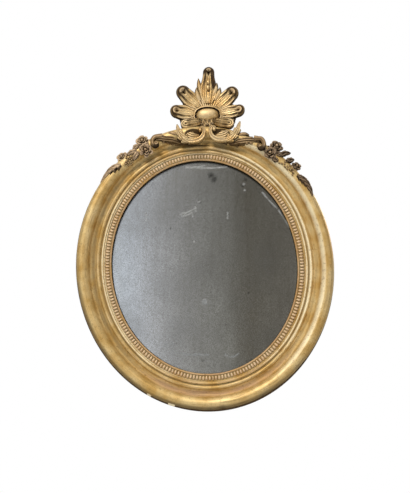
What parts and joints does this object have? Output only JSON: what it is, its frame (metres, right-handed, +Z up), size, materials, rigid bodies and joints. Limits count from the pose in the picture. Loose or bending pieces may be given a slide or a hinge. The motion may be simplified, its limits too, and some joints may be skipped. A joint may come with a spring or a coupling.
{
  "type": "oval mirror",
  "caption": "Oval wall mirror in a worn gilded frame with a shell crest, rose garlands and a beaded sight edge; hangs from a hinged ring at the back.",
  "frame": {"origin": "centre of the oval on the wall plane, which is the outer face of the back boards", "axes": "+X to the viewer's right, +Y towards the wall, +Z up; the mirror faces -Y"},
  "size_m": [0.551, 0.0591, 0.7512],
  "materials": {
    "gilding": "worn leaf gilding over red clay and gesso on wood",
    "gilt_ornament": "worn gilding over moulded composition, dark in the recesses",
    "frame_wood": "softwood washed with brown ochre",
    "board_wood": "bare aged pine",
    "peg_wood": "bare wood",
    "mirror_glass": "old clear plate glass",
    "silvering": "foxed silvering",
    "backing_paper": "brown paper",
    "iron": "dark wrought iron"
  },
  "bodies": {
    "frame": {"acanthus_leaf_left": "gilt_ornament", "acanthus_leaf_right": "gilt_ornament", "back_board_left": "board_wood", "back_board_middle": "board_wood", "back_board_nails": "iron", "back_board_right": "board_wood", "back_felloe_bottom": "frame_wood", "back_felloe_left": "frame_wood", "back_felloe_right": "frame_wood", "back_felloe_top": "frame_wood", "backing_paper": "backing_paper", "batten_screws": "iron", "berry_cluster_left": "gilt_ornament", "berry_cluster_right": "gilt_ornament", "boss": "gilt_ornament", "c_scroll_left": "gilt_ornament", "c_scroll_right": "gilt_ornament", "crest_batten": "frame_wood", "crest_ground": "gilt_ornament", "frond_centre": "gilt_ornament", "frond_lower_left": "gilt_ornament", "frond_lower_right": "gilt_ornament", "frond_upper_left": "gilt_ornament", "frond_upper_right": "gilt_ornament", "frond_wires": "iron", "front_moulding_lower_left": "gilding", "front_moulding_lower_right": "gilding", "front_moulding_upper_left": "gilding", "front_moulding_upper_right": "gilding", "glazing_blocks": "peg_wood", "ground_screws": "iron", "hanger_pin": "iron", "hanger_plate": "iron", "hanger_screws": "iron", "layer_pegs": "peg_wood", "leaf_scroll_left": "gilt_ornament", "leaf_scroll_right": "gilt_ornament", "mirror_glass": "mirror_glass", "mirror_silvering": "silvering", "rose_front_left": "gilt_ornament", "rose_front_right": "gilt_ornament", "rose_upper_left": "gilt_ornament", "rose_upper_right": "gilt_ornament", "shell_lobe_left": "gilt_ornament", "shell_lobe_right": "gilt_ornament", "sight_beading": "gilding", "small_flower_left": "gilt_ornament", "small_flower_right": "gilt_ornament", "spray_leaf_left": "gilt_ornament", "spray_leaf_right": "gilt_ornament", "trailing_leaf_left": "gilt_ornament", "trailing_leaf_right": "gilt_ornament"},
    "ring": {"hanger_ring": "iron"}
  },
  "joints": [
    {"name": "ring_hinge", "type": "hinge", "parent": "frame", "child": "ring", "pos_m": [0.00894, -0.0047, 0.29439], "axis": [-1, 0, 0], "range_deg": [0, 160]}
  ]
}
